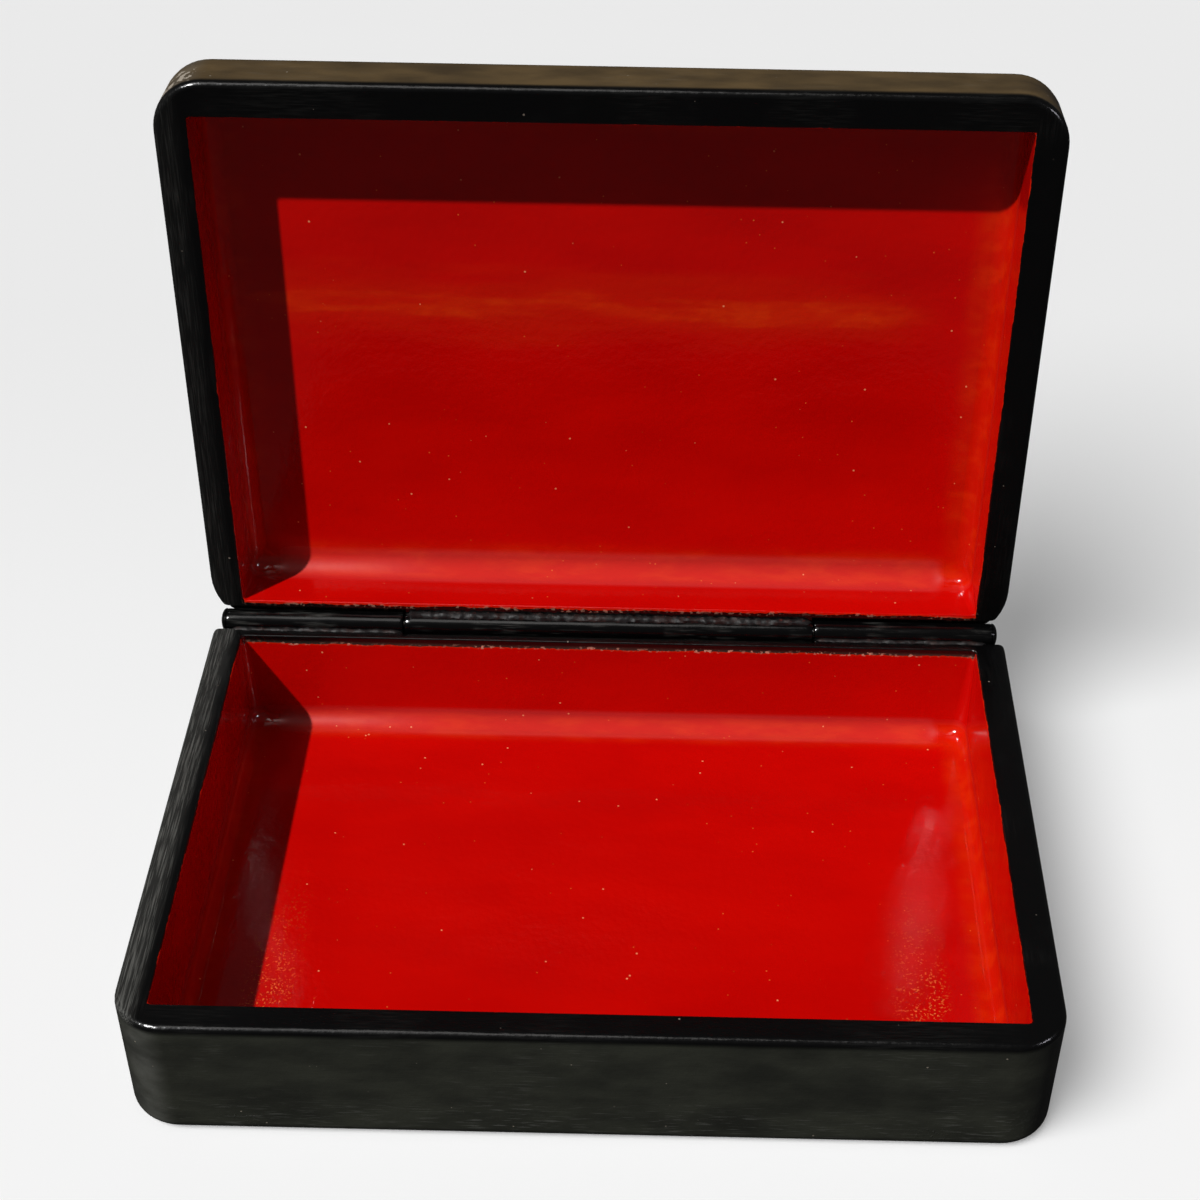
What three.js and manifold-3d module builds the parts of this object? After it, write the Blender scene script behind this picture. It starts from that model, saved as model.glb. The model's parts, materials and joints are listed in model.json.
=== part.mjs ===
// Hinged lacquer trinket box with its lid open. Millimetres, +Z up, -Y to the front.
// The origin is the centre of the underside, which is the face that the box stands on.
import * as THREE from "three";
import { mergeVertices } from "three/addons/utils/BufferGeometryUtils.js";
import Module from "manifold-3d";

const wasm = await Module();
wasm.setup();

// Closed box
const boxWidth = 150;
const boxDepth = 106;
const baseHeight = 24.5;
const lidHeight = 14.5;
const rimGap = 0.16; // lacquer clearance between the two rims when the lid is down

// Walls, shared by the base and the lid where they meet
const sideWall = 5.8;
const rearWall = 6.4;
const baseFrontWall = 5.3;
const lidFrontWall = 6;
const baseBoard = 4.2; // bottom board, glued under the wall frame
const lidBoard = 2.5; // top board, glued on the wall frame

// Roundings
const frontCornerRadius = 8.8;
const baseRearCornerRadius = 5.5;
const lidRearCornerRadius = 11;
const insideCornerRadius = 0.8;
const rimRounding = 1.2;
const baseEdgeRounding = 2.5;
const lidEdgeRounding = 5;
const baseCove = 2.6; // lacquer-filled corner between the walls and the board
const lidCove = 3.2;
const coveFeather = 0.15; // thickness at which a cove runs out on the board

// Hinge
const openAngle = THREE.MathUtils.degToRad(93.5); // lid past upright, as it rests
const stopClearanceAngle = THREE.MathUtils.degToRad(1.5);
const axisInset = 1.9; // hinge axis inside the rear faces
const knuckleRadius = 2.3;
const centreKnuckleLength = 77.4;
const knuckleEndGap = 0.25; // on each side of a split between two knuckles
const endSealThickness = 1;
const pinRadius = 0.8;
const pinClearance = 0.05;
const pinEndGap = 0.3;
const sealPlugLength = 2.4;
const seatGap = 0.3; // glue line between a knuckle and the wall that carries it
const swingGap = 1; // gap in front of a knuckle that turns against the wall
const swingGrooveDepth = 2.1;

const cutOverrun = 4; // how far a cutter reaches past the piece that it cuts

// Counts
const cornerSteps = 7;
const edgeSteps = 5;
const rimSteps = 3;
const coveSteps = 5;
const knuckleSides = 28;
const pinSides = 20;
const sealSteps = 4;

// Places that follow from the sizes, seen from the hinge axis
const hingeY = boxDepth / 2 - axisInset;
const hingeZ = baseHeight + rimGap / 2;
const rimZ = -rimGap / 2;
const lipDepth = axisInset * Math.tan((openAngle + stopClearanceAngle) / 2);
const hingeHalfLength = boxWidth / 2 - roundedInset(baseRearCornerRadius, axisInset);
const centreHalfLength = centreKnuckleLength / 2;
const boreRadius = pinRadius + pinClearance;

const blackLacquer = new THREE.MeshStandardMaterial({ color: 0x0b0b0a, roughness: 0.22, metalness: 0 });
const redLacquer = new THREE.MeshStandardMaterial({ color: 0xb01408, roughness: 0.25, metalness: 0 });
const pinSteel = new THREE.MeshStandardMaterial({ color: 0x8c8a86, roughness: 0.4, metalness: 1 });

// How far a quarter-round of this radius has drawn in, at a distance from the face it starts at.
function roundedInset(radius, distance) {
  const left = Math.max(radius - distance, 0);
  return radius - Math.sqrt(radius * radius - left * left);
}

// Points of a quarter-round between two angles, as how far in and how far up they lie.
function quarterRound(radius, from, to, steps) {
  const points = [];
  for (let i = 0; i <= steps; i++) {
    const angle = from + ((to - from) * i) / steps;
    points.push({ inset: radius * (1 - Math.cos(angle)), rise: radius * (1 - Math.sin(angle)) });
  }
  return points;
}

// A level rectangle with rounded corners, anticlockwise from above, drawn in by an inset.
function outline(plan, inset, z) {
  const x = plan.halfWidth - inset;
  const rear = plan.rear - inset;
  const front = plan.front + inset;
  const rearRadius = Math.max(plan.rearRadius - inset, 0);
  const frontRadius = Math.max(plan.frontRadius - inset, 0);
  const corners = [
    { x: x - rearRadius, y: rear - rearRadius, radius: rearRadius },
    { x: rearRadius - x, y: rear - rearRadius, radius: rearRadius },
    { x: frontRadius - x, y: front + frontRadius, radius: frontRadius },
    { x: x - frontRadius, y: front + frontRadius, radius: frontRadius },
  ];
  const points = [];
  corners.forEach((corner, quarter) => {
    for (let i = 0; i <= cornerSteps; i++) {
      const angle = ((quarter + i / cornerSteps) * Math.PI) / 2;
      points.push([
        corner.x + corner.radius * Math.cos(angle),
        corner.y + corner.radius * Math.sin(angle),
        z,
      ]);
    }
  });
  return points;
}

// Joins the outlines, each to the next, into one surface. A ring closes on itself, a board is capped.
function skin(outlines, isRing) {
  const size = outlines[0].length;
  const points = outlines.flat();
  const faces = [];
  const bands = isRing ? outlines.length : outlines.length - 1;
  for (let band = 0; band < bands; band++) {
    const low = band * size;
    const high = ((band + 1) % outlines.length) * size;
    for (let i = 0; i < size; i++) {
      const next = (i + 1) % size;
      faces.push(low + i, low + next, high + next, low + i, high + next, high + i);
    }
  }
  if (!isRing) {
    const last = (outlines.length - 1) * size;
    for (let i = 1; i < size - 1; i++) {
      faces.push(0, i + 1, i, last, last + i, last + i + 1);
    }
  }
  const geometry = new THREE.BufferGeometry();
  geometry.setAttribute("position", new THREE.Float32BufferAttribute(points.flat(), 3));
  geometry.setIndex(faces);
  return geometry;
}

function solidOf(geometry) {
  const bare = geometry.clone();
  bare.deleteAttribute("normal");
  bare.deleteAttribute("uv");
  const merged = mergeVertices(bare);
  return new wasm.Manifold(
    new wasm.Mesh({
      numProp: 3,
      vertProperties: merged.getAttribute("position").array,
      triVerts: new Uint32Array(merged.index.array),
    }),
  );
}

function geometryOf(solid) {
  const { vertProperties, triVerts } = solid.getMesh();
  const geometry = new THREE.BufferGeometry();
  geometry.setAttribute("position", new THREE.Float32BufferAttribute(vertProperties, 3));
  geometry.setIndex(new THREE.BufferAttribute(triVerts, 1));
  return geometry.toNonIndexed();
}

function meshOf(name, geometry, material) {
  geometry.computeVertexNormals();
  const mesh = new THREE.Mesh(geometry, material);
  mesh.name = name;
  return mesh;
}

// A box cutter between two corners.
function blockCutter(low, high) {
  const size = high.map((value, i) => value - low[i]);
  const middle = high.map((value, i) => (value + low[i]) / 2);
  return solidOf(new THREE.BoxGeometry(...size).translate(...middle));
}

// Turns a shape made along Y so that it lies along X.
function alongX(geometry) {
  return geometry.rotateZ(-Math.PI / 2);
}

// A tray with its rim up and its rear wall along the hinge axis, which is y = 0, z = 0.
// The base is one as it stands, and the lid is one turned over.
function trayPlans(tray) {
  const front = axisInset - boxDepth;
  const outer = {
    halfWidth: boxWidth / 2,
    rear: axisInset,
    front,
    rearRadius: tray.rearCornerRadius,
    frontRadius: frontCornerRadius,
  };
  const inner = {
    halfWidth: boxWidth / 2 - sideWall,
    rear: axisInset - rearWall,
    front: front + tray.frontWall,
    rearRadius: insideCornerRadius,
    frontRadius: insideCornerRadius,
  };
  return { outer, inner };
}

// Where the rounded outer edge crosses the joint between the wall frame and the board.
function splitAngle(tray) {
  return Math.asin(Math.max(1 - tray.board / tray.edgeRounding, 0));
}

// The wall frame: one wound strip of board round the box, with the cove filled in at its foot.
function wallFrame(tray) {
  const { outer, inner } = trayPlans(tray);
  const bottom = rimZ - tray.height;
  const boardTop = bottom + tray.board;
  const split = splitAngle(tray);
  const outlines = [];
  if (split > 0) {
    quarterRound(tray.edgeRounding, split, 0, edgeSteps).forEach(({ inset, rise }) => {
      outlines.push(outline(outer, inset, bottom + rise));
    });
  } else {
    outlines.push(outline(outer, 0, boardTop));
  }
  quarterRound(rimRounding, 0, Math.PI / 2, rimSteps).forEach(({ inset, rise }) => {
    outlines.push(outline(outer, inset, rimZ - rise));
  });
  outlines.push(outline(inner, 0, rimZ));
  // The cove leaves the wall at its own radius above the board and ends at its feathered edge.
  const featherAngle = Math.asin(1 - coveFeather / tray.cove);
  quarterRound(tray.cove, 0, featherAngle, coveSteps).forEach(({ inset, rise }) => {
    outlines.push(outline(inner, inset, boardTop + rise));
  });
  outlines.push(outline(inner, tray.cove * (1 - Math.cos(featherAngle)), boardTop));
  return skin(outlines, true);
}

// The flat board that closes the tray, as wide as the walls.
function board(tray) {
  const { outer } = trayPlans(tray);
  const bottom = rimZ - tray.height;
  const outlines = quarterRound(tray.edgeRounding, Math.PI / 2, splitAngle(tray), edgeSteps).map(
    ({ inset, rise }) => outline(outer, inset, bottom + rise),
  );
  if (tray.board > tray.edgeRounding) outlines.push(outline(outer, 0, bottom + tray.board));
  return skin(outlines, false);
}

// Cuts the hinge channel into the rear wall: a round seat for all three knuckles, the lip that stops
// the lid, and a wider groove in front of each knuckle that belongs to the other half.
function cutHingeChannel(frame, swingSpans) {
  const reach = boxWidth / 2 + cutOverrun;
  const seat = new THREE.CylinderGeometry(
    knuckleRadius + seatGap,
    knuckleRadius + seatGap,
    reach * 2,
    knuckleSides,
  );
  let made = solidOf(frame).subtract(solidOf(alongX(seat)));
  made = made.subtract(
    blockCutter([-reach, 0, -lipDepth], [reach, axisInset + cutOverrun, cutOverrun]),
  );
  swingSpans.forEach(([from, to]) => {
    made = made.subtract(
      blockCutter([from, -knuckleRadius - swingGap, -swingGrooveDepth], [to, 0, cutOverrun]),
    );
  });
  return geometryOf(made);
}

// A round piece along X, turned from a profile of [distance along X, radius] points.
function turned(profile, sides) {
  const points = profile.map(([along, radius]) => new THREE.Vector2(radius, along));
  const geometry = alongX(new THREE.LatheGeometry(points, sides));
  geometry.deleteAttribute("normal");
  geometry.deleteAttribute("uv");
  return mergeVertices(geometry);
}

// A knuckle is a rolled tube with the pin's bore through it.
function knuckle(from, to) {
  return turned(
    [
      [from, boreRadius],
      [from, knuckleRadius],
      [to, knuckleRadius],
      [to, boreRadius],
      [from, boreRadius],
    ],
    knuckleSides,
  );
}

// A round-nosed seal of filler that closes the open end of an outer knuckle over the pin.
function endSeal(direction) {
  const face = hingeHalfLength - endSealThickness;
  const plugRadius = boreRadius - pinClearance;
  const profile = [
    [face - sealPlugLength, 0],
    [face - sealPlugLength, plugRadius],
    [face, plugRadius],
    [face, knuckleRadius],
  ];
  for (let i = 1; i <= sealSteps; i++) {
    const angle = (i / sealSteps) * (Math.PI / 2);
    const isTip = i === sealSteps;
    profile.push([
      face + endSealThickness * Math.sin(angle),
      isTip ? 0 : knuckleRadius * Math.cos(angle),
    ]);
  }
  const geometry = turned(profile, knuckleSides);
  return direction > 0 ? geometry : geometry.rotateZ(Math.PI);
}

function hingePin() {
  const half = hingeHalfLength - endSealThickness - sealPlugLength - pinEndGap;
  return turned([[-half, 0], [-half, pinRadius], [half, pinRadius], [half, 0]], pinSides);
}

const baseTray = {
  height: baseHeight,
  board: baseBoard,
  frontWall: baseFrontWall,
  rearCornerRadius: baseRearCornerRadius,
  edgeRounding: baseEdgeRounding,
  cove: baseCove,
};
const lidTray = {
  height: lidHeight,
  board: lidBoard,
  frontWall: lidFrontWall,
  rearCornerRadius: lidRearCornerRadius,
  edgeRounding: lidEdgeRounding,
  cove: lidCove,
};

const sideKnuckleSpan = [centreHalfLength + knuckleEndGap, hingeHalfLength - endSealThickness];
const centreSwingSpan = [-centreHalfLength - knuckleEndGap, centreHalfLength + knuckleEndGap];
const sideSwingSpan = [centreHalfLength - knuckleEndGap, boxWidth / 2 + cutOverrun];
const mirrored = ([from, to]) => [-to, -from];

// The base carries the two outer knuckles, the pin and its seals.
const base = new THREE.Group();
base.position.set(0, hingeY, hingeZ);
base.add(
  meshOf("base_wall_frame", cutHingeChannel(wallFrame(baseTray), [centreSwingSpan]), blackLacquer),
  meshOf("base_bottom_board", board(baseTray), redLacquer),
  meshOf("hinge_knuckle_right", knuckle(...sideKnuckleSpan), blackLacquer),
  meshOf("hinge_knuckle_left", knuckle(...mirrored(sideKnuckleSpan)), blackLacquer),
  meshOf("hinge_end_seal_right", endSeal(1), blackLacquer),
  meshOf("hinge_end_seal_left", endSeal(-1), blackLacquer),
  meshOf("hinge_pin", hingePin(), pinSteel),
);

// The lid swings about the pin. Its tray is turned over about Y, so that its rim faces the base's.
const lidTurnedOver = new THREE.Group();
lidTurnedOver.rotation.y = Math.PI;
lidTurnedOver.add(
  meshOf(
    "lid_wall_frame",
    cutHingeChannel(wallFrame(lidTray), [sideSwingSpan, mirrored(sideSwingSpan)]),
    blackLacquer,
  ),
  meshOf("lid_top_board", board(lidTray), redLacquer),
  meshOf("hinge_knuckle_centre", knuckle(-centreHalfLength, centreHalfLength), blackLacquer),
);
const lid = new THREE.Group();
lid.position.copy(base.position);
lid.rotation.x = -openAngle;
lid.add(lidTurnedOver);

const trinketBox = new THREE.Group();
trinketBox.add(base, lid);
trinketBox.updateMatrixWorld(true);

export default trinketBox;
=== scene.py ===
"""A hinged lacquer trinket box, black outside and vermilion inside, standing open on a pale floor."""

import json
import logging
import math
from dataclasses import dataclass
from enum import Enum
from typing import Any

import bmesh
import bpy
from mathutils import Matrix, Vector, noise


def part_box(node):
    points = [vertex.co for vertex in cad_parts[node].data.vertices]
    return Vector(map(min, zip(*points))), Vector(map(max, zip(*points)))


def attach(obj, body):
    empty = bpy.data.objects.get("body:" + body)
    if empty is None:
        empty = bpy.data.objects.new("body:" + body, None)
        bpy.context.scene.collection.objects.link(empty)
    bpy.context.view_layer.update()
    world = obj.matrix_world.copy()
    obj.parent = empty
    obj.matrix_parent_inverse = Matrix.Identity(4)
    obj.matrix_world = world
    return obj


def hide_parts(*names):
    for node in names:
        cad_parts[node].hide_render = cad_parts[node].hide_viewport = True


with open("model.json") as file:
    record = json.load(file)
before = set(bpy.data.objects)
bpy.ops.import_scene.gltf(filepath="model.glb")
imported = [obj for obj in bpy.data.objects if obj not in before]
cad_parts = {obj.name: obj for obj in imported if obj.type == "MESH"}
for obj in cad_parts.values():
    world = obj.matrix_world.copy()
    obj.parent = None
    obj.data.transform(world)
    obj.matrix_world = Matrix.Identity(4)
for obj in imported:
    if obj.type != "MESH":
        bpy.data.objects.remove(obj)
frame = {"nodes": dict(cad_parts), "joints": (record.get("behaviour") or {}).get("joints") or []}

LOG = logging.getLogger("trinket_box")
MM = 0.001
PHOTO_PX = 1200.0
QUARTER_TURN = math.pi / 2
SHARP_ANGLE = math.radians(38)
DOT_CORE = 0.6

Triple = tuple[float, float, float]
Span = tuple[float, float]
Socket = bpy.types.NodeSocket
BMesh = bmesh.types.BMesh
Ring = list[bmesh.types.BMVert]

BLACK = (0.0012, 0.0012, 0.0013)
BARE_GREY = (0.12, 0.12, 0.11)
# The outer faces' dull grey-green: partly the lacquer's own tone, partly a painted reflection of the bright
# floor.
DULL_GREY_AND_SHEEN = (0.030, 0.0315, 0.023)
LENGTHWISE = (0.4, 1.0, 1.0)


class Body(Enum):
    """The two rigid halves of the box."""

    BASE = "base"
    LID = "lid"


class Slot(Enum):
    """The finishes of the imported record."""

    BLACK = "black_lacquer"
    RED = "red_lacquer"
    WIRE = "pin_wire"


# Sizes


@dataclass(frozen=True)
class HingeSizes:
    """The rolled tube hinge, in millimetres. Its axis is y = 0, z = 0 of each tray."""

    open_angle: float = 93.5
    stop_angle: float = 95.0
    inset: float = 1.9
    knuckle_radius: float = 2.3
    centre_length: float = 77.4
    end_gap: float = 0.25
    seal_thickness: float = 1.0
    bore_radius: float = 0.85
    seat_gap: float = 0.3
    swing_gap: float = 1.0
    swing_depth: float = 2.1
    rim_gap: float = 0.16

    @property
    def lip_depth(self) -> float:
        """How far below the axis the two rear walls meet when the lid is at its stop."""
        return self.inset * math.tan(math.radians(self.stop_angle) / 2)


@dataclass(frozen=True)
class TraySizes:
    """One half of the box, in millimetres, rim up with its rear wall along the hinge axis."""

    width: float
    depth: float
    height: float
    board: float
    front_wall: float
    rear_corner: float
    edge_rounding: float
    cove: float
    front_corner: float = 8.8
    side_wall: float = 5.8
    rear_wall: float = 6.4
    inside_corner: float = 0.8
    foot_corner: float = 2.6
    rim_rounding: float = 1.2
    inner_rim_rounding: float = 0.3

    @property
    def half_width(self) -> float:
        """Half of the outer width."""
        return self.width / 2

    @property
    def inner_half_width(self) -> float:
        """Half of the opening's width."""
        return self.half_width - self.side_wall


@dataclass(frozen=True)
class Level:
    """One rounded rectangle of a tray's skin, in tray millimetres."""

    half: float
    front: float
    rear: float
    height: float
    front_corner: float
    rear_corner: float


@dataclass(frozen=True)
class Place:
    """Where a tray stands: a turn and a shift from tray millimetres to frame metres."""

    matrix: Matrix


# Shader graphs


class Shade:
    """A shader value that Python expressions combine into Math nodes."""

    def __init__(self, graph: "Tree", socket: Socket) -> None:
        """Wraps one output socket of a graph."""
        self.graph = graph
        self.socket = socket

    def _math(self, operation: str, first: Any, second: Any) -> "Shade":
        """Adds one Math node that works on two values or shades."""
        node = self.graph.node("ShaderNodeMath", {0: first, 1: second}, operation=operation)
        return Shade(self.graph, node.outputs[0])

    def __add__(self, other: Any) -> "Shade":
        """Adds."""
        return self._math("ADD", self, other)

    def __sub__(self, other: Any) -> "Shade":
        """Subtracts."""
        return self._math("SUBTRACT", self, other)

    def __rsub__(self, other: Any) -> "Shade":
        """Subtracts from a value."""
        return self._math("SUBTRACT", other, self)

    def __mul__(self, other: Any) -> "Shade":
        """Multiplies."""
        return self._math("MULTIPLY", self, other)

    def __abs__(self) -> "Shade":
        """Drops the sign."""
        return self._math("ABSOLUTE", self, 0.0)

    def most(self, other: Any) -> "Shade":
        """Gives the larger of two."""
        return self._math("MAXIMUM", self, other)

    def least(self, other: Any) -> "Shade":
        """Gives the smaller of two."""
        return self._math("MINIMUM", self, other)

    def ramp(self, low: float, high: float) -> "Shade":
        """Goes smoothly from 0 at low to 1 at high."""
        inputs = {"Value": self, "From Min": low, "From Max": high, "To Min": 0.0, "To Max": 1.0}
        node = self.graph.node("ShaderNodeMapRange", inputs, interpolation_type="SMOOTHSTEP")
        return Shade(self.graph, node.outputs["Result"])

    def fall(self, low: float, high: float) -> "Shade":
        """Goes smoothly from 1 at low to 0 at high."""
        return 1.0 - self.ramp(low, high)

    def level(self, spread: float, least: float) -> "Shade":
        """Scales it, and adds its least value."""
        return self * spread + least

    def mix(self, low: Any, high: Any) -> "Shade":
        """Goes from the first value at 0 to the second at 1."""
        return self * (high - low) + low


class Tree:
    """A node tree that nodes are added to."""

    def __init__(self, tree: bpy.types.NodeTree) -> None:
        """Starts from an emptied tree."""
        self.tree = tree
        tree.nodes.clear()

    def node(self, kind: str, inputs: dict[Any, Any] | None = None, **settings: Any) -> bpy.types.Node:
        """Adds a node.

        Args:
            kind: Its type.
            inputs: Values or links for its sockets.
            settings: Its own settings, set first.

        Returns:
            The node.
        """
        made = self.tree.nodes.new(kind)
        for key, value in settings.items():
            setattr(made, key, value)
        for key, value in (inputs or {}).items():
            self.feed(made.inputs[key], value)
        return made

    def feed(self, socket: Socket, value: Any) -> None:
        """Links a shade or a socket to an input, or sets a plain value.

        Args:
            socket: The input.
            value: What goes in.
        """
        source = value.socket if isinstance(value, Shade) else value
        if isinstance(source, Socket):
            self.tree.links.new(source, socket)
        else:
            socket.default_value = source


@dataclass(frozen=True)
class Cloud:
    """A noise: the size of one cloud, its finer layers, where it eases to 0 and 1, and its stretch."""

    size: float
    layers: float
    low: float = 0.0
    high: float = 1.0
    stretch: Triple | None = None


@dataclass(frozen=True)
class Dots:
    """Scattered dots: their spacing, their radius, and the clouds that they keep to."""

    spacing: float
    radius: float
    clouds: Cloud


class Graph(Tree):
    """One material's graph round a Principled shader, with the coordinates x, y and z."""

    def __init__(self, name: str, place: Place | None = None) -> None:
        """Starts a material.

        Args:
            name: The material's name.
            place: Where the tray stands whose millimetres it uses. Frame metres without one.
        """
        self.material = bpy.data.materials.new(name)
        self.material.use_nodes = True
        super().__init__(self.material.node_tree)
        self.surface = self.node("ShaderNodeBsdfPrincipled")
        self.output = self.node("ShaderNodeOutputMaterial", {"Surface": self.surface.outputs[0]})
        self.vector = self.node("ShaderNodeTexCoord").outputs["Object"]
        if place is not None:
            shift, turn, scale = place.matrix.inverted().decompose()
            inputs = {"Vector": self.vector, "Location": shift, "Rotation": turn.to_euler(), "Scale": scale}
            self.vector = self.node("ShaderNodeMapping", inputs, vector_type="POINT").outputs["Vector"]
        split = self.node("ShaderNodeSeparateXYZ", {0: self.vector})
        self.x, self.y, self.z = (Shade(self, socket) for socket in split.outputs)

    def finish(self, **inputs: Any) -> bpy.types.Material:
        """Sets the Principled shader's sockets.

        Args:
            inputs: Socket names with underscores for spaces, and their values.

        Returns:
            The finished material.
        """
        for key, value in inputs.items():
            self.feed(self.surface.inputs[key.replace("_", " ")], value)
        return self.material

    def noise(self, cloud: Cloud) -> Shade:
        """Cloudy noise from 0 to 1, not eased.

        Args:
            cloud: Its size, layers and stretch.

        Returns:
            The noise.
        """
        vector = self.vector
        if cloud.stretch is not None:
            inputs = {0: vector, 1: cloud.stretch}
            vector = self.node("ShaderNodeVectorMath", inputs, operation="MULTIPLY").outputs[0]
        inputs = {"Vector": vector, "Scale": 1.0 / cloud.size, "Detail": cloud.layers}
        return Shade(self, self.node("ShaderNodeTexNoise", inputs).outputs["Fac"])

    def clouds(self, cloud: Cloud) -> Shade:
        """Noise eased to 0 and 1."""
        return self.noise(cloud).ramp(cloud.low, cloud.high)

    def specks(self, dots: Dots) -> Shade:
        """Small scattered dots, 1 inside and 0 outside.

        Args:
            dots: Their spacing, radius and clouds.

        Returns:
            The mask.
        """
        node = self.node("ShaderNodeTexVoronoi", {"Vector": self.vector, "Scale": 1.0 / dots.spacing})
        reach = dots.radius / dots.spacing
        return Shade(self, node.outputs["Distance"]).fall(DOT_CORE * reach, reach) * self.clouds(dots.clouds)

    def blend(self, mask: Shade, low: Any, high: Any) -> Socket:
        """Mixes two colours or colour sockets.

        Args:
            mask: 0 for the first and 1 for the second.
            low: The first.
            high: The second.

        Returns:
            The colour socket.
        """
        inputs = {0: mask, 6: colour(low), 7: colour(high)}
        return self.node("ShaderNodeMix", inputs, data_type="RGBA").outputs[2]

    def bump(self, height: Shade, depth: float, under: Any = None) -> Socket:
        """Turns a height into a normal.

        Args:
            height: The height, 0 to 1.
            depth: What a height of 1 stands for, in millimetres.
            under: A normal to build on.

        Returns:
            The normal socket.
        """
        inputs = {"Height": height, "Distance": depth * MM, "Strength": 1.0}
        if under is not None:
            inputs["Normal"] = under
        return self.node("ShaderNodeBump", inputs).outputs["Normal"]


def colour(value: Any) -> Any:
    """Gives a colour its alpha, and leaves a socket as it is."""
    return value if isinstance(value, Socket) else (*value, 1.0)


# Finishes


@dataclass(frozen=True)
class BlackLacquer:
    """Old black lacquer, polished on the rims, dull grey on the outer faces, with painted sheens and a
    painted floor reflection, and its wear.
    """

    outer: Triple
    # The front face's colour; on the lid it is a painted brown sheen.
    front: Triple
    # How strong the painted reflection of the floor is, a light line just above the foot.
    floor_reflection_line: float = 0.0
    colour: Triple = BLACK
    # The bare grey of wear, also used for the painted corner sheen, the painted floor reflection and the
    # flank's painted glints.
    worn: Triple = BARE_GREY
    chipped: Triple = (0.36, 0.31, 0.25)
    roughness: float = 0.17
    outer_roughness: float = 0.42
    worn_roughness: float = 0.5
    most_roughness: float = 0.7
    fine_roughness: float = 0.06
    hairs_along: Cloud = Cloud(0.2, 3.0, stretch=(1.0, 0.035, 1.0))
    hairs_across: Cloud = Cloud(0.24, 4.0, stretch=(0.06, 1.0, 1.0))
    fine: Cloud = Cloud(0.55, 2.0)
    patches: Cloud = Cloud(16.0, 3.0)
    dust: Cloud = Cloud(8.0, 3.0, 0.32, 0.68, LENGTHWISE)
    mottle: Cloud = Cloud(3.0, 8.0, 0.3, 0.75, LENGTHWISE)
    chips: Cloud = Cloud(1.3, 6.0, 0.64, 0.67)
    flecks: Dots = Dots(3.6, 0.2, Cloud(16.0, 3.0, 0.40, 0.52))
    cloud_level: float = 0.4
    mottle_levels: Span = (0.3, 0.42)
    patch_level: float = 0.04
    outer_loss: float = 0.6
    flank_wear_glint_level: float = 0.2
    scuff_levels: Span = (0.32, 0.18)
    # The painted sheen down the front face's corner on the worn side.
    corner_sheen_levels: Span = (0.3, 0.16)
    apex_boost: float = 0.25
    chip_level: float = 0.95
    fleck_level: float = 0.6
    hair_relief: float = 0.8
    fine_relief: float = 0.3


@dataclass(frozen=True)
class RedLacquer:
    """Vermilion lacquer, glossy, laid on by brush with a faint orange peel, and its wear, painted glints and
    painted reflection.
    """

    colour: Triple = (0.52, 0.0015, 0.0003)
    deep: Triple = (0.45, 0.0008, 0.0003)
    # Orange for the pooled coves with their painted glint, the painted highlight along the line and the
    # painted reflection band.
    orange: Triple = (0.58, 0.024, 0.0010)
    dust: Triple = (0.78, 0.24, 0.11)
    # Orange for rubbed specks and for the grit's painted glints.
    rubbed: Triple = (0.76, 0.15, 0.03)
    chip: Triple = (0.52, 0.27, 0.19)
    roughness: float = 0.12
    cove_roughness: float = 0.95
    specular: float = 0.5
    pooled: Cloud = Cloud(12.0, 5.0, 0.25, 0.75, LENGTHWISE)
    streaks: Cloud = Cloud(1.6, 5.0, 0.4, 0.7, (0.25, 0.5, 1.0))
    # The waviness of the painted reflection band on the lid.
    wave: Cloud = Cloud(3.5, 4.0, stretch=(0.16, 1.0, 1.0))
    # The grit's grains, orange as painted glints.
    grains: Cloud = Cloud(0.45, 2.0, 0.57, 0.66)
    grain_clouds: Cloud = Cloud(3.0, 3.0, 0.36, 0.52)
    rubbed_dots: Dots = Dots(2.6, 0.17, Cloud(9.0, 3.0, 0.42, 0.6))
    dust_dots: Dots = Dots(4.2, 0.23, Cloud(3.0, 1.0, 0.42, 0.5))
    swell: Cloud = Cloud(10.0, 1.0, stretch=(0.5, 1.0, 1.0))
    peel: Cloud = Cloud(1.5, 2.0)
    wave_height: float = 12.0
    # The painted reflection band across the lid's panel.
    ripple_x: float = 8.0
    ripple_levels: Span = (0.6, 0.3)
    halo_level: float = 0.25
    # How orange the coves are: pooled lacquer with a painted glint.
    foot_levels: Span = (0.4, 0.2)
    # A painted highlight along the painted line.
    line_highlight_level: float = 0.55
    rubbed_level: float = 0.7
    worn_end_loss: float = 0.4
    bend_level: float = 0.35
    swell_depth: float = 0.22
    peel_depth: float = 0.06
    grit_depth: float = 0.05
    wear_depth: float = 0.03
    relief: float = 1.2


@dataclass(frozen=True)
class PaintedLine:
    """The line between red and black, drawn by hand along the rim, and its chips."""

    sway: Cloud = Cloud(6.0, 2.0)
    shake: Cloud = Cloud(1.0, 2.0)
    shake_level: float = 0.55
    mean: float = 0.85
    spread: float = 0.6
    chips: Cloud = Cloud(0.9, 4.0, 0.53, 0.58)
    chip_clouds: Cloud = Cloud(7.0, 2.0, 0.42, 0.6)
    chip_levels: Span = (0.8, 0.2)
    chip_shift: float = 0.1


@dataclass(frozen=True)
class TrayLook:
    """What one tray's lacquer has of its own: its blacks, its wear and its painted line."""

    black: BlackLacquer
    worn_side: float
    # How much the flank on the worn side is scratched and greyed with painted glints.
    flank_wear_and_glint: float = 0.14
    hinge_lap: float = 0.0
    seam_chips: float = 0.45
    # How much grit lies on the floor, its grains coloured as painted glints.
    grit_and_glints: float = 0.0
    corner_chips: float = 0.0
    # Where the lid's painted reflection band lies, if it has one.
    ripple_y: float | None = None


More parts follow.
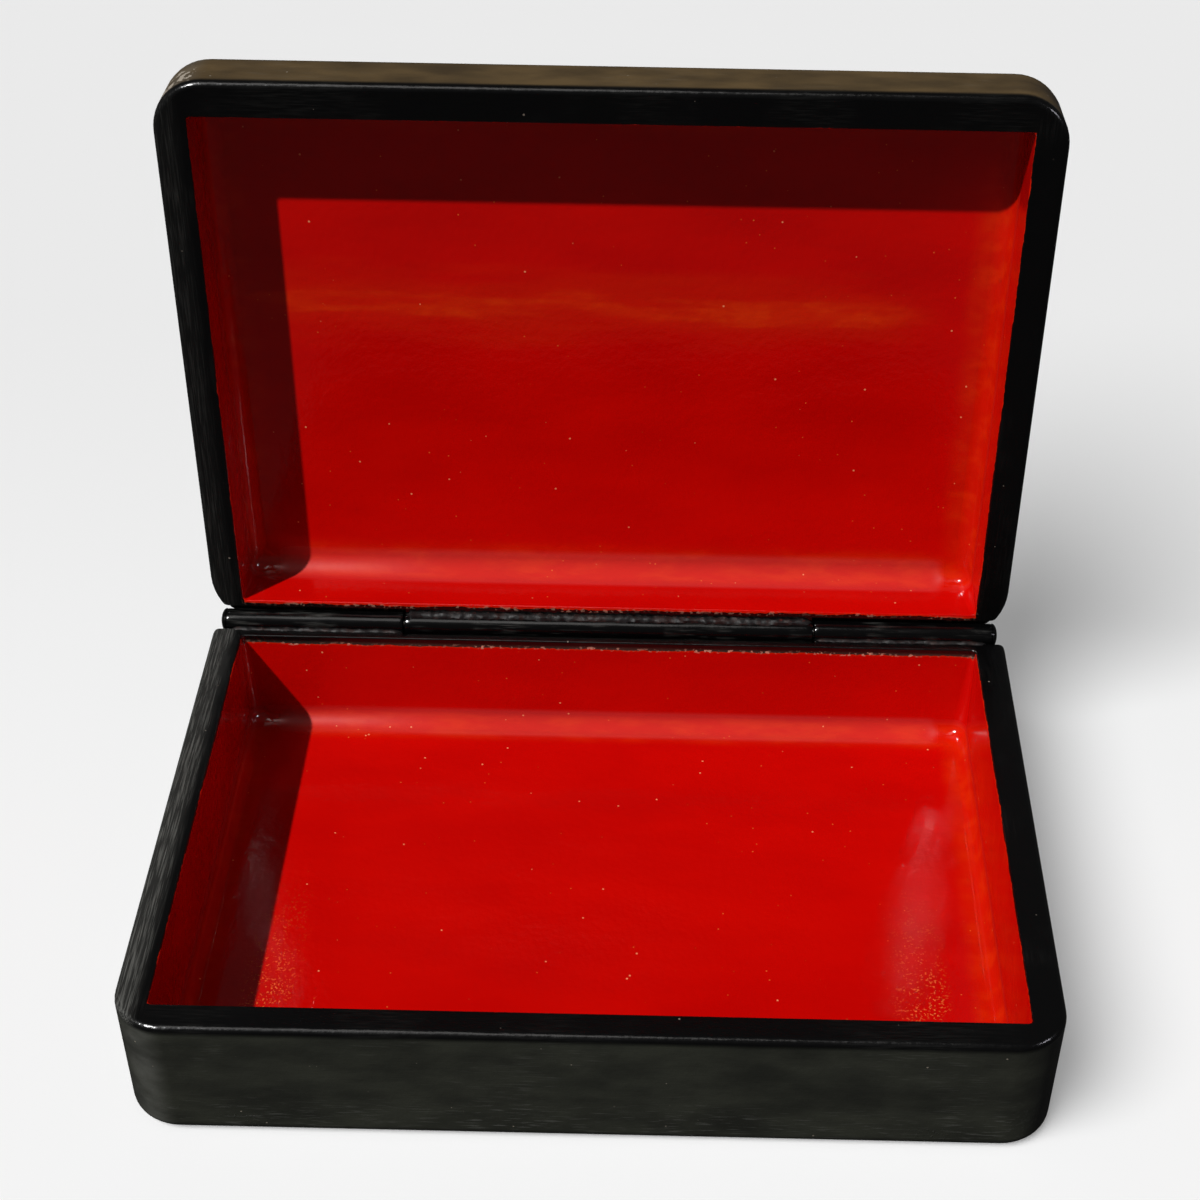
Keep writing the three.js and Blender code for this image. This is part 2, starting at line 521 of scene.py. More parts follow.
@dataclass(frozen=True)
class TrayFinish:
    """The two lacquers of one tray. The ends of every ramp and fall are tray millimetres."""

    graph: Graph
    tray: TraySizes
    rim_z: float
    axis_inset: float
    look: TrayLook
    red: RedLacquer = RedLacquer()
    line: PaintedLine = PaintedLine()

    @property
    def beside(self) -> Shade:
        """How far a point lies outside the opening's side walls."""
        return abs(self.graph.x) - self.tray.inner_half_width

    @property
    def behind(self) -> Shade:
        """How far a point lies behind the outer front face."""
        return self.graph.y - (self.axis_inset - self.tray.depth)

    @property
    def below(self) -> Shade:
        """How far a point lies below the rim."""
        return self.rim_z - self.graph.z

    @property
    def above(self) -> Shade:
        """How far a point lies above the inner face of the board."""
        return self.graph.z - (self.rim_z - self.tray.height + self.tray.board)

    @property
    def into_hinge(self) -> Shade:
        """How far a point lies behind the inner face of the rear wall."""
        return self.graph.y - (self.axis_inset - self.tray.rear_wall)

    def outward(self, spread: float) -> Shade:
        """How far a point lies outside the opening, with its hinge wall moved out by the spread."""
        return self.beside.most(self.tray.front_wall - self.behind).most(self.into_hinge - spread)

    def past_line(self) -> Shade:
        """How far a point lies on the black side of the line drawn by hand along the rim.

        Returns:
            The distance, negative on the red.
        """
        line = self.line
        hand = self.graph.noise(line.sway) + self.graph.noise(line.shake) * line.shake_level - line.mean
        lap = self.into_hinge.ramp(-1.0, -0.2) * self.look.hinge_lap
        return self.outward(line.spread) - self.below - hand + lap

    def inside_mask(self, past: Shade) -> Shade:
        """Where the red is: the opening's walls and floor, up to the painted line.

        Args:
            past: The distance from the painted line.

        Returns:
            1 on the red, 0 on the black.
        """
        board = self.tray.board
        within = self.outward(self.line.spread).fall(0.5, 0.55)
        return past.fall(-0.05, 0.05) * within * self.above.ramp(-0.6 * board, -0.4 * board)

    def brushed_cove(self) -> Shade:
        """Where the lacquer was brushed out along the foot of the rear wall and is less glossy.

        Returns:
            1 in the cove, less at its worn end, 0 elsewhere.
        """
        cove, half = self.tray.cove, self.tray.inner_half_width
        near = (0.0 - self.into_hinge).fall(cove, 1.8 * cove)
        worn_end = (self.graph.x * self.look.worn_side).ramp(0.4 * half, 0.8 * half)
        inside = self.above.fall(cove, 1.6 * cove) * near * self.beside.fall(-8.0, -4.0)
        return inside * (1.0 - worn_end * self.red.worn_end_loss)

    def black_parts(self) -> tuple[Socket, Shade, Shade]:
        """Works out the black lacquer's colour and wear, with its painted sheens and painted reflections.

        Returns:
            The colour, the roughness and the height of the wear.
        """
        graph, tray, look, black = self.graph, self.tray, self.look, self.look.black
        below, behind = self.below, self.behind
        across = graph.x * look.worn_side - tray.half_width
        hairs_across, patches = graph.noise(black.hairs_across), graph.noise(black.patches)
        fine = graph.noise(black.fine)
        hairs = self.beside.ramp(-0.2, 0.4).mix(hairs_across, graph.noise(black.hairs_along))
        outer = below.ramp(0.6 * tray.rim_rounding, 1.5 * tray.rim_rounding)
        clouds, mottle = graph.clouds(black.dust), graph.clouds(black.mottle)
        # The outer faces blend towards their dull grey-green, which is partly a painted reflection.
        dull_grey_and_sheen = outer * (clouds * black.cloud_level + mottle.level(*black.mottle_levels))
        on_front = behind.fall(3.5, 8.0)
        # On the front face the outer colour gives way to the front colour, on the lid a painted brown sheen.
        painted = graph.blend(dull_grey_and_sheen, black.colour, graph.blend(on_front, black.outer, black.front))
        # Scratches along the flank on the worn side, greyed as painted glints of the sun.
        flank_wear_glint = across.ramp(-5.0, -2.5) * (1.0 - outer) * look.flank_wear_and_glint
        wear = hairs.ramp(0.36, 0.76) * (patches.ramp(0.45, 0.66) * black.patch_level + flank_wear_glint)
        wear = (wear * (1.0 - outer * black.outer_loss)).most(flank_wear_glint * black.flank_wear_glint_level)
        low_level, patch_level = black.scuff_levels
        low = below.ramp(0.55 * tray.height, 0.8 * tray.height) * low_level
        scuffs = hairs_across.ramp(0.56, 0.7) * outer * (low + patches.ramp(0.5, 0.62) * patch_level)
        # A painted sheen down the front face's corner on the worn side, in the bare grey.
        nose = abs(across + 4.6).fall(0.6, 4.6) * on_front * outer * mottle.level(*black.corner_sheen_levels)
        # A painted reflection of the floor: a light line about a millimetre above the foot.
        past_foot = below - tray.height
        foot = past_foot.ramp(-1.6, -1.0) * past_foot.fall(-0.9, -0.4) * black.floor_reflection_line * clouds
        # Wear and scuffs take the bare grey, as do the painted corner sheen and the painted floor
        # reflection.
        painted = graph.blend(wear.most(scuffs).most(nose + foot), painted, black.worn)
        apex = across.ramp(-10.0, -2.0) * behind.fall(0.0, 7.0) * outer * below.fall(2.0, 11.0)
        chips = (graph.noise(black.chips) + apex * black.apex_boost).ramp(black.chips.low, black.chips.high)
        chips = chips * apex.ramp(0.02, 0.3) * look.corner_chips
        bare = (chips * black.chip_level).most(graph.specks(black.flecks) * black.fleck_level)
        rough = wear * (black.worn_roughness - black.roughness) + fine * black.fine_roughness
        rough = rough + outer.mix(black.roughness, black.outer_roughness)
        height = hairs * black.hair_relief + fine * black.fine_relief - chips
        return graph.blend(bare, painted, black.chipped), rough.least(black.most_roughness), height

    def red_colour(self, past: Shade) -> Socket:
        """Works out the red lacquer's colour: more orange along the coves, where it pooled and a glint is
        painted, along the painted line as a painted highlight, and on the lid's painted reflection band,
        with rubbed specks, grit and dust.

        Args:
            past: The distance from the painted line.

        Returns:
            The colour socket.
        """
        graph, red, cove = self.graph, self.red, self.tray.cove
        painted = graph.blend(graph.clouds(red.pooled), red.colour, red.deep)
        # The coves' orange is pooled lacquer with a painted glint.
        foot = self.above.fall(0.5 * cove, 1.3 * cove) * (0.0 - self.outward(0.0)).fall(cove, 2.4 * cove)
        streaks = graph.clouds(red.streaks)
        pooled_orange_and_glint = foot * streaks.level(*red.foot_levels)
        if self.look.ripple_y is not None:
            # The lid's painted reflection band joins the orange.
            pooled_orange_and_glint = pooled_orange_and_glint.most(self.ripple_reflection(streaks))
        for mask, tint in (
            (pooled_orange_and_glint, red.orange),
            # A painted highlight along the painted line, in orange.
            (past.ramp(-0.45, 0.0) * red.line_highlight_level, red.orange),
            (graph.specks(red.rubbed_dots) * red.rubbed_level, red.rubbed),
            # The grit, orange as painted glints.
            (self.grit_and_glints(), red.rubbed),
            (graph.specks(red.dust_dots), red.dust),
        ):
            painted = graph.blend(mask, painted, tint)
        return painted

    def ripple_reflection(self, streaks: Shade) -> Shade:
        """The painted reflection: a wavy bright band across the lid's panel.

        Args:
            streaks: The streaks of the brush.

        Returns:
            How strong it is.
        """
        graph, red, half = self.graph, self.red, self.tray.inner_half_width
        wave = (graph.noise(red.wave) - 0.5) * red.wave_height
        away = abs(graph.y - self.look.ripple_y + wave)
        core = away.fall(0.0, 3.0) * streaks.level(*red.ripple_levels)
        fade = abs(graph.x - red.ripple_x).fall(0.7 * half, half) * self.above.fall(0.2, 0.8)
        return (core + away.fall(1.0, 9.0) * red.halo_level) * fade

    def grit_and_glints(self) -> Shade:
        """Dust caught in the lacquer in a band along both sides of the floor, near the front, orange as
        painted glints.

        Returns:
            1 on a grain, 0 beside it.
        """
        from_side = 0.0 - self.beside
        band = from_side.ramp(8.0, 11.0) * from_side.fall(14.0, 20.0) * self.behind.fall(14.0, 60.0)
        grains = self.graph.clouds(self.red.grains) * self.graph.clouds(self.red.grain_clouds)
        return grains * self.above.fall(0.2, 1.0) * band * self.look.grit_and_glints

    def seam_chips(self, past: Shade) -> Shade:
        """Chips along the painted line beside the hinge.

        Args:
            past: The distance from the painted line.

        Returns:
            1 on a chip, 0 beside it.
        """
        line = self.line
        seam = self.into_hinge.ramp(-1.0, -0.2) * self.below.fall(3.5, 4.5)
        chips = self.graph.clouds(line.chips) * abs(past - line.chip_shift).fall(0.15, 0.5) * seam
        return chips * self.graph.clouds(line.chip_clouds).level(*line.chip_levels) * self.look.seam_chips

    def material(self) -> bpy.types.Material:
        """Makes the tray's material.

        Returns:
            The material.
        """
        graph, red = self.graph, self.red
        past = self.past_line()
        inside = self.inside_mask(past)
        black_colour, black_rough, wear_height = self.black_parts()
        painted = graph.blend(inside, black_colour, self.red_colour(past))
        normal = None
        for height, depth in (
            (graph.noise(red.swell), red.swell_depth),
            (graph.noise(red.peel), red.peel_depth),
            (self.grit_and_glints(), red.grit_depth),
            (inside.mix(wear_height, red.relief), red.wear_depth),
        ):
            normal = graph.bump(height, depth, normal)
        bend = abs(self.above - self.tray.cove).fall(0.3, 1.1) * red.bend_level
        dull = self.brushed_cove().most(bend)
        red_rough = dull.mix(red.roughness, red.cove_roughness)
        return graph.finish(
            Base_Color=graph.blend(self.seam_chips(past), painted, red.chip),
            Roughness=inside.mix(black_rough, red_rough),
            Specular_IOR_Level=red.specular,
            Normal=normal,
        )


@dataclass(frozen=True)
class HingeFinish:
    """The hinge's black lacquer, rubbed along the tube."""

    graph: Graph
    colour: Triple = BLACK
    worn: Triple = BARE_GREY
    roughness: Span = (0.25, 0.16)
    specular: float = 0.42
    rubbed: Cloud = Cloud(0.6, 3.0, 0.5, 0.75, (0.08, 1.0, 1.0))
    patches: Cloud = Cloud(6.0, 3.0, 0.4, 0.7)
    wear_level: float = 0.3
    rolls: Cloud = Cloud(1.7, 3.0, stretch=(0.5, 0.25, 0.25))
    roll_depth: float = 0.06

    def material(self) -> bpy.types.Material:
        """Makes the hinge's material.

        Returns:
            The material.
        """
        graph = self.graph
        wear = graph.clouds(self.rubbed) * graph.clouds(self.patches) * self.wear_level
        return graph.finish(
            Base_Color=graph.blend(wear, self.colour, self.worn),
            Roughness=wear.level(*self.roughness),
            Specular_IOR_Level=self.specular,
            Normal=graph.bump(graph.noise(self.rolls), self.roll_depth),
        )


@dataclass(frozen=True)
class ChippedBead:
    """The rough line of filler along a knuckle, where black, red and bare ground show."""

    graph: Graph
    chipped: float
    black: Triple = (0.005, 0.004, 0.004)
    stain: Triple = (0.022, 0.008, 0.006)
    ground: Triple = (0.20, 0.15, 0.12)
    red: Triple = (0.36, 0.02, 0.004)
    chips: Cloud = Cloud(0.8, 4.0, 0.62, 0.66)
    stains: Cloud = Cloud(2.4, 3.0, 0.5, 0.62)
    red_chips: Cloud = Cloud(1.3, 3.0, 0.63, 0.67)
    chip_levels: Span = (0.5, 0.04)
    stain_level: float = 0.6
    roughness: Span = (0.25, 0.42)
    specular: float = 0.3
    depth: float = 0.1

    def material(self) -> bpy.types.Material:
        """Makes the bead's material.

        Returns:
            The material.
        """
        graph = self.graph
        chips = graph.noise(self.chips)
        near_red = graph.y.fall(-3.5, -2.7) * self.chipped
        pale = chips.ramp(self.chips.low, self.chips.high) * near_red.level(*self.chip_levels)
        mixed = graph.blend(graph.clouds(self.stains) * self.stain_level, self.black, self.stain)
        mixed = graph.blend(pale, mixed, self.ground)
        red = near_red * graph.clouds(self.red_chips) * self.stain_level
        return graph.finish(
            Base_Color=graph.blend(red, mixed, self.red),
            Roughness=chips.level(*self.roughness),
            Specular_IOR_Level=self.specular,
            Normal=graph.bump(chips, self.depth),
        )


# Mesh helpers


def link(name: str, data: bpy.types.ID) -> bpy.types.Object:
    """Makes an object of some data and puts it into the scene."""
    made = bpy.data.objects.new(name, data)
    bpy.context.scene.collection.objects.link(made)
    return made


def smooth(mesh: bpy.types.Mesh) -> None:
    """Shades a mesh smooth up to its sharp edges."""
    mesh.shade_smooth()
    mesh.set_sharp_from_angle(angle=SHARP_ANGLE)


def piece(name: str, bm: BMesh, place: Place) -> bpy.types.Object:
    """Makes an object of a mesh in tray millimetres, standing in its place.

    Args:
        name: The object's name.
        bm: The mesh, which is freed.
        place: Where its tray stands.

    Returns:
        The object, unturned at the origin.
    """
    bm.transform(place.matrix)
    mesh = bpy.data.meshes.new(name)
    bm.to_mesh(mesh)
    bm.free()
    smooth(mesh)
    return link(name, mesh)


def carve(made: bpy.types.Object, cutters: list[bpy.types.Object]) -> None:
    """Cuts the cutters out of an object and drops them.

    Args:
        made: The object.
        cutters: The cutting objects, one after the other.
    """
    for cutter in cutters:
        cut = made.modifiers.new("cut", "BOOLEAN")
        cut.operation = "DIFFERENCE"
        cut.solver = "EXACT"
        cut.object = cutter
    graph = bpy.context.evaluated_depsgraph_get()
    result = bpy.data.meshes.new_from_object(made.evaluated_get(graph))
    made.modifiers.clear()
    old = made.data
    made.data = result
    bpy.data.meshes.remove(old)
    for cutter in cutters:
        bpy.data.meshes.remove(cutter.data)


def dress(made: bpy.types.Object, material: bpy.types.Material, body: Body) -> None:
    """Gives a piece its finish and its body.

    Args:
        made: The piece.
        material: Its material.
        body: The half that it moves with.
    """
    made.data.materials.clear()
    made.data.materials.append(material)
    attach(made, body.value)
    LOG.info("made %s on %s", made.name, body.value)


# Parts of the box


@dataclass
class Tray:
    """One half of the box: wound walls on a flat board, lacquered over as one shell."""

    body: Body
    sizes: TraySizes
    hinge: HingeSizes
    place: Place
    nodes: tuple[str, ...]
    look: TrayLook
    corner_segments: int = 12
    edge_segments: int = 7
    seat_segments: int = 64
    overcut: float = 4.0

    @property
    def rim_z(self) -> float:
        """The height of the rim below the hinge axis."""
        return -self.hinge.rim_gap / 2

    def shell(self) -> None:
        """Builds the shell, with its rounded edges, coves and hinge channel."""
        levels = self._levels()
        bm = bmesh.new()
        ring = [bm.verts.new(point) for point in self._outline(levels[0])]
        bm.faces.new(ring)
        for level in levels[1:]:
            ring = self._grow(bm, ring, self._outline(level))
        bm.faces.new(ring)
        bmesh.ops.recalc_face_normals(bm, faces=bm.faces[:])
        shell = piece(f"{self.body.value}_shell", bm, self.place)
        carve(shell, self._channel_cutters())
        smooth(shell.data)
        weighted = shell.modifiers.new("flat shading", "WEIGHTED_NORMAL")
        weighted.keep_sharp = True
        weighted.weight = 100
        graph = Graph(f"{self.body.value}_lacquer", self.place)
        finish = TrayFinish(graph, self.sizes, self.rim_z, self.hinge.inset, self.look)
        dress(shell, finish.material(), self.body)
        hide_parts(*self.nodes)

    def _levels(self) -> list[Level]:
        """Lists the skin's levels: up the outside, over the rim and down to the floor.

        Returns:
            The levels.
        """
        sizes, rim, bottom = self.sizes, self.rim_z, self.rim_z - self.sizes.height
        front, rear = self.hinge.inset - sizes.depth, self.hinge.inset
        steps = [step / self.edge_segments * QUARTER_TURN for step in range(self.edge_segments + 1)]

        def outer(inset: float, height: float) -> Level:
            """Gives a level of the outside, this far in from the faces."""
            return Level(sizes.half_width - inset, front + inset, rear - inset, height,
                         sizes.front_corner - inset, sizes.rear_corner - inset)

        def inner(inset: float, height: float, corner: float) -> Level:
            """Gives a level of the opening, this far in from its walls."""
            return Level(sizes.inner_half_width - inset, front + sizes.front_wall + inset,
                         rear - sizes.rear_wall - inset, height, corner, corner)

        edge, rounding, soft = sizes.edge_rounding, sizes.rim_rounding, sizes.inner_rim_rounding
        cove, floor = sizes.cove, bottom + sizes.board
        levels = [outer(edge * (1 - math.sin(a)), bottom + edge * (1 - math.cos(a))) for a in steps]
        levels += [outer(rounding * (1 - math.cos(a)), rim - rounding * (1 - math.sin(a))) for a in steps]
        levels += [inner(-soft * (1 - math.sin(a)), rim - soft * (1 - math.cos(a)), sizes.inside_corner)
                   for a in steps]
        levels += [inner(cove * (1 - math.cos(a)), floor + cove * (1 - math.sin(a)), sizes.foot_corner)
                   for a in steps]
        return levels

    def _outline(self, level: Level) -> list[Vector]:
        """Walks once round a level's rounded rectangle.

        Args:
            level: The level.

        Returns:
            The points, from the front right corner on.
        """
        points = []
        for index, (across, along) in enumerate(((1, -1), (1, 1), (-1, 1), (-1, -1))):
            radius = level.front_corner if along < 0 else level.rear_corner
            y = level.front + radius if along < 0 else level.rear - radius
            middle = Vector((across * (level.half - radius), y, level.height))
            for step in range(self.corner_segments + 1):
                turn = (index - 1 + step / self.corner_segments) * QUARTER_TURN
                points.append(middle + radius * Vector((math.cos(turn), math.sin(turn), 0.0)))
        return points

    def _grow(self, bm: BMesh, ring: Ring, points: list[Vector]) -> Ring:
        """Extrudes a ring and moves the new one to its level.

        Args:
            bm: The mesh.
            ring: The ring's vertices in order.
            points: Where the new ring goes.

        Returns:
            The new ring's vertices in the same order.
        """
        edges = [bm.edges.get((a, b)) for a, b in zip(ring, ring[1:] + ring[:1])]
        order = {vert.co.to_tuple(6): index for index, vert in enumerate(ring)}
        grown = bmesh.ops.extrude_edge_only(bm, edges=edges)["geom"]
        fresh = [item for item in grown if isinstance(item, bmesh.types.BMVert)]
        fresh.sort(key=lambda vert: order[vert.co.to_tuple(6)])
        for vert, point in zip(fresh, points):
            vert.co = point
        return fresh

    def _channel_cutters(self) -> list[bpy.types.Object]:
        """Makes the cutters of the hinge channel: the round seat, the lip and the swing grooves.

        Returns:
            The cutters.
        """
        hinge, over, reach = self.hinge, self.overcut, self.sizes.half_width + self.overcut
        radius = hinge.knuckle_radius + hinge.seat_gap
        seat = bmesh.new()
        bmesh.ops.create_cone(seat, cap_ends=True, segments=self.seat_segments, depth=2 * reach,
                              radius1=radius, radius2=radius, matrix=Matrix.Rotation(QUARTER_TURN, 4, "Y"))
        cutters = [piece("seat_cutter", seat, self.place)]
        boxes = [((-reach, 0.0, -hinge.lip_depth), (reach, hinge.inset + over, over))]
        half = hinge.centre_length / 2
        groove = -hinge.knuckle_radius - hinge.swing_gap
        if self.body is Body.BASE:
            spans = [(-half - hinge.end_gap, half + hinge.end_gap)]
        else:
            spans = [(half - hinge.end_gap, reach), (-reach, hinge.end_gap - half)]
        boxes += [((low, groove, -hinge.swing_depth), (high, 0.0, over)) for low, high in spans]
        for low, high in boxes:
            matrix = Matrix.LocRotScale((Vector(low) + Vector(high)) / 2, None, Vector(high) - Vector(low))
            bm = bmesh.new()
            bmesh.ops.create_cube(bm, size=1.0, matrix=matrix)
            cutters.append(piece("groove_cutter", bm, self.place))
        return cutters


@dataclass(frozen=True)
class Section:
    """The cross-section of a filler bead: its middle and its half sizes, in tray millimetres."""

    y: float
    z: float
    reach: float
    rise: float
    chipped: float


LEAST_LUMP = 0.85
LUMP_SPREAD = 0.3
LUMP_SCALE = 0.9
LUMP_FRACTAL = (1.0, 2.0, 3)
BEAD_TIP = 0.2


@dataclass
class TubeHinge:
    """The rolled tube hinge: three knuckles on a wire, round-nosed seals and their filler beads."""

    sizes: HingeSizes
    half_length: float
    places: dict[Body, Place]
    length_cuts: int = 70
    turn_steps: int = 56
    tube_edge: float = 0.35
    nose_steps: int = 8
    plug: float = 2.4
    plug_gap: float = 0.05
    bead_gap: float = 0.3
    bead_step: float = 0.4
    bead_segments: int = 14
    bead_taper: float = 1.2
    unevenness: float = 0.07
    dent_scale: Triple = (0.22, 0.35, 0.35)
    weld: float = 1e-4

    def build(self) -> None:
        """Builds every piece of the hinge."""
        half, gap, taper = self.sizes.centre_length / 2, self.bead_gap, self.bead_taper
        side = (half + self.sizes.end_gap, self.half_length - self.sizes.seal_thickness)
        self.knuckle("centre", (-half, half), Body.LID)
        self.knuckle("right", side, Body.BASE)
        self.knuckle("left", (-side[1], -side[0]), Body.BASE)
        self.seal("right")
        self.seal("left")
        high_seam = Section(-2.05, 0.15, 1.0, 1.1, 1.0)
        self.bead("filler_centre", (-half + gap, half - gap), Body.LID, high_seam)
        low_seam = Section(-2.4, -0.35, 0.72, 0.7, 0.1)
        self.bead("filler_right", (side[0] + gap, side[1] - taper), Body.BASE, low_seam)
        self.bead("filler_left", (-side[1] + taper, -side[0] - gap), Body.BASE, low_seam)

    def knuckle(self, side: str, span: Span, body: Body) -> None:
        """Builds one knuckle, a rolled tube that is not quite even.

        Args:
            side: Which of the three it is.
            span: Where it starts and ends along the hinge.
            body: The half that carries it.
        """
        (low, high), bore, radius = span, self.sizes.bore_radius, self.sizes.knuckle_radius
        edge, ease = self.tube_edge, 0.3 * self.tube_edge
        points = [(low, bore), (low, radius - edge), (low + ease, radius - ease), (low + edge, radius)]
        points += [(high - edge, radius), (high - ease, radius - ease), (high, radius - edge), (high, bore)]
        bm = bmesh.new()
        verts = [bm.verts.new((x, r, 0.0)) for x, r in points]
        edges = [bm.edges.new((a, b)) for a, b in zip(verts, verts[1:] + verts[:1])]
        bmesh.ops.subdivide_edges(bm, edges=[edges[3]], cuts=self.length_cuts)
        self._turn(bm)
        self._roughen(bm)
        self._lacquer(f"hinge_tube_{side}", bm, body, f"hinge_knuckle_{side}")

    def seal(self, side: str) -> None:
        """Builds the round nose that closes one end of the hinge.

        Args:
            side: Which end.
        """
        radius, reach, plug = self.sizes.knuckle_radius, self.sizes.seal_thickness, self.sizes.bore_radius
        face, plug = self.half_length - reach, plug - self.plug_gap
        turns = [step / self.nose_steps * QUARTER_TURN for step in range(self.nose_steps + 1)]
        points = [(face - self.plug, 0.0), (face - self.plug, plug), (face, plug)]
        points += [(face + reach * math.sin(turn), radius * math.cos(turn)) for turn in turns]
        bm = bmesh.new()
        verts = [bm.verts.new((x, r, 0.0)) for x, r in points]
        for a, b in zip(verts, verts[1:]):
            bm.edges.new((a, b))
        self._turn(bm)
        if side == "left":
            bmesh.ops.rotate(bm, verts=bm.verts[:], matrix=Matrix.Rotation(math.pi, 3, "Z"))
        self._lacquer(f"hinge_nose_{side}", bm, Body.BASE, f"hinge_end_seal_{side}")

    def bead(self, name: str, span: Span, body: Body, section: Section) -> None:
        """Builds the lumpy line of filler between a knuckle and the rim in front of it.

        Args:
            name: The piece's name.
            span: Where it starts and ends along the hinge.
            body: The half that carries it.
            section: Its cross-section.
        """
        low, high = span
        steps = int((high - low) / self.bead_step)
        squash = Matrix.Diagonal((1.0, section.reach, section.rise, 1.0))
        start = Matrix.Translation((low, section.y, section.z)) @ squash
        start = start @ Matrix.Rotation(QUARTER_TURN, 4, "Y")
        bm = bmesh.new()
        bmesh.ops.create_circle(bm, cap_ends=True, segments=self.bead_segments, radius=1.0, matrix=start)
        faces = bm.faces[:]
        for _ in range(steps):
            grown = bmesh.ops.extrude_face_region(bm, geom=faces)["geom"]
            bmesh.ops.delete(bm, geom=faces, context="FACES_ONLY")
            faces = [item for item in grown if isinstance(item, bmesh.types.BMFace)]
            moved = list({vert for face in faces for vert in face.verts})
            bmesh.ops.translate(bm, verts=moved, vec=((high - low) / steps, 0.0, 0.0))
        bmesh.ops.holes_fill(bm, edges=[edge for edge in bm.edges if edge.is_boundary])
        for vert in bm.verts:
            middle = Vector((vert.co.x, section.y, section.z))
            lump = LEAST_LUMP + LUMP_SPREAD * noise.fractal(vert.co * LUMP_SCALE, *LUMP_FRACTAL)
            inset = min(vert.co.x - low, high - vert.co.x)
            vert.co = middle + (vert.co - middle) * min(1.0, inset / self.bead_taper + BEAD_TIP) * lump
        bmesh.ops.recalc_face_normals(bm, faces=bm.faces[:])
        made = piece(name, bm, self.places[body])
        finish = ChippedBead(Graph(f"{name}_ground", self.places[body]), section.chipped)
        dress(made, finish.material(), body)

    def _lacquer(self, name: str, bm: BMesh, body: Body, node: str) -> None:
        """Makes a lacquered piece of the hinge.

        Args:
            name: The piece's name.
            bm: Its mesh.
            body: The half that carries it.
            node: The CAD node that it stands for.
        """
        made = piece(name, bm, self.places[body])
        finish = HingeFinish(Graph(f"{name}_lacquer", self.places[body]))
        dress(made, finish.material(), body)
        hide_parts(node)

    def _turn(self, bm: BMesh) -> None:
        """Turns a profile round the hinge axis.

        Args:
            bm: The mesh that holds the profile.
        """
        bmesh.ops.spin(bm, geom=bm.verts[:] + bm.edges[:], cent=(0.0, 0.0, 0.0), axis=(1.0, 0.0, 0.0),
                       angle=math.tau, steps=self.turn_steps, use_merge=True)
        bmesh.ops.remove_doubles(bm, verts=bm.verts[:], dist=self.weld)
        bmesh.ops.recalc_face_normals(bm, faces=bm.faces[:])

    def _roughen(self, bm: BMesh) -> None:
        """Makes the rolled tube a little uneven, inwards only. Its bore stays true.

        Args:
            bm: The mesh.
        """
        for vert in bm.verts:
            away = Vector((0.0, vert.co.y, vert.co.z))
            if away.length > self.sizes.bore_radius + self.tube_edge:
                dent = 0.5 + 0.5 * noise.noise(vert.co * Vector(self.dent_scale))
                vert.co -= away.normalized() * dent * self.unevenness


def steel_wire() -> bpy.types.Material:
    """Makes the drawn steel of the pin."""
    graph = Graph("pin_wire_steel")
    drawn = graph.noise(Cloud(0.3, 2.0, stretch=(60.0, 1000.0, 1000.0)))
    return graph.finish(
        Base_Color=graph.blend(drawn, (0.30, 0.29, 0.27), (0.42, 0.41, 0.38)),
        Metallic=1.0,
        Roughness=drawn * 0.2 + 0.3,
    )


# Studio


@dataclass(frozen=True)
class Camera:
    """The photograph's camera, in metres, degrees and photograph pixels."""

    place: Triple = (0.00997, -0.2784, 0.2765)
    azimuth: float = 0.65
    elevation: float = 41.38
    roll: float = 0.783
    focal_px: float = 2176.0
    shift_px: Span = (39.45, 180.0)

    def build(self) -> None:
        """Makes the camera the scene's own."""
        data = bpy.data.cameras.new("camera")
        data.lens = self.focal_px / PHOTO_PX * data.sensor_width
        data.shift_x = -self.shift_px[0] / PHOTO_PX
        data.shift_y = self.shift_px[1] / PHOTO_PX
        turn, rise = math.radians(self.azimuth), math.radians(self.elevation)
        back = Vector((math.sin(turn) * math.cos(rise), -math.cos(turn) * math.cos(rise), math.sin(rise)))
        level = (-back).to_track_quat("-Z", "Y").to_matrix().to_4x4()
        rolled = level @ Matrix.Rotation(math.radians(self.roll), 4, "Z")
        made = link("camera", data)
        made.matrix_world = Matrix.Translation(self.place) @ rolled
        bpy.context.scene.camera = made


def lamp(name: str, kind: str, energy: float, direction: Triple) -> bpy.types.Object:
    """Makes a lamp.

    Args:
        name: Its name.
        kind: Its type.
        energy: Its power or strength.
        direction: Where its light comes from.

    Returns:
        The lamp.
    """
    data = bpy.data.lights.new(name, kind)
    data.energy = energy
    made = link(name, data)
    made.rotation_mode = "QUATERNION"
    made.rotation_quaternion = Vector(direction).to_track_quat("Z", "Y")
    return made


@dataclass(frozen=True)
class Window:
    """A bright opening a metre away, which shows only as glints in the gloss."""

    name: str
    direction: Triple
    size: float
    power: float
    colour: Triple

    def build(self) -> None:
        """Makes the lamp."""
        made = lamp(self.name, "AREA", self.power, self.direction)
        made.data.size = self.size
        made.data.color = self.colour
        made.visible_diffuse = False
        made.visible_camera = False
        made.location = self.direction


